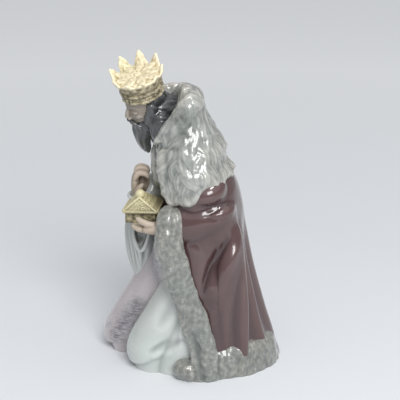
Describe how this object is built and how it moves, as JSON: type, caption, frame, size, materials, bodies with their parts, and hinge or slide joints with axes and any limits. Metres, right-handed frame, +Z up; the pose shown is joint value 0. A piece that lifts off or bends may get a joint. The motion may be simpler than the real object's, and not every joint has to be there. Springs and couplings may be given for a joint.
{
  "type": "nativity wise man figurine",
  "caption": "Kneeling crowned wise man figurine in glazed porcelain, one hand raised and the other holding a small house-shaped gift box; stands on its flat foot.",
  "frame": {"origin": "middle of the bounding box's bottom face, on the surface the figurine stands on", "axes": "+Z up, -Y the way the figure faces, +X towards its left side, which carries the gift box"},
  "size_m": [0.0915, 0.1276, 0.2165],
  "materials": {
    "glazed_porcelain": "glazed porcelain, soft grey pastel colours with matt cream crown and gift box"
  },
  "bodies": {
    "root": {"wise_man_figurine": "glazed_porcelain"}
  },
  "joints": []
}
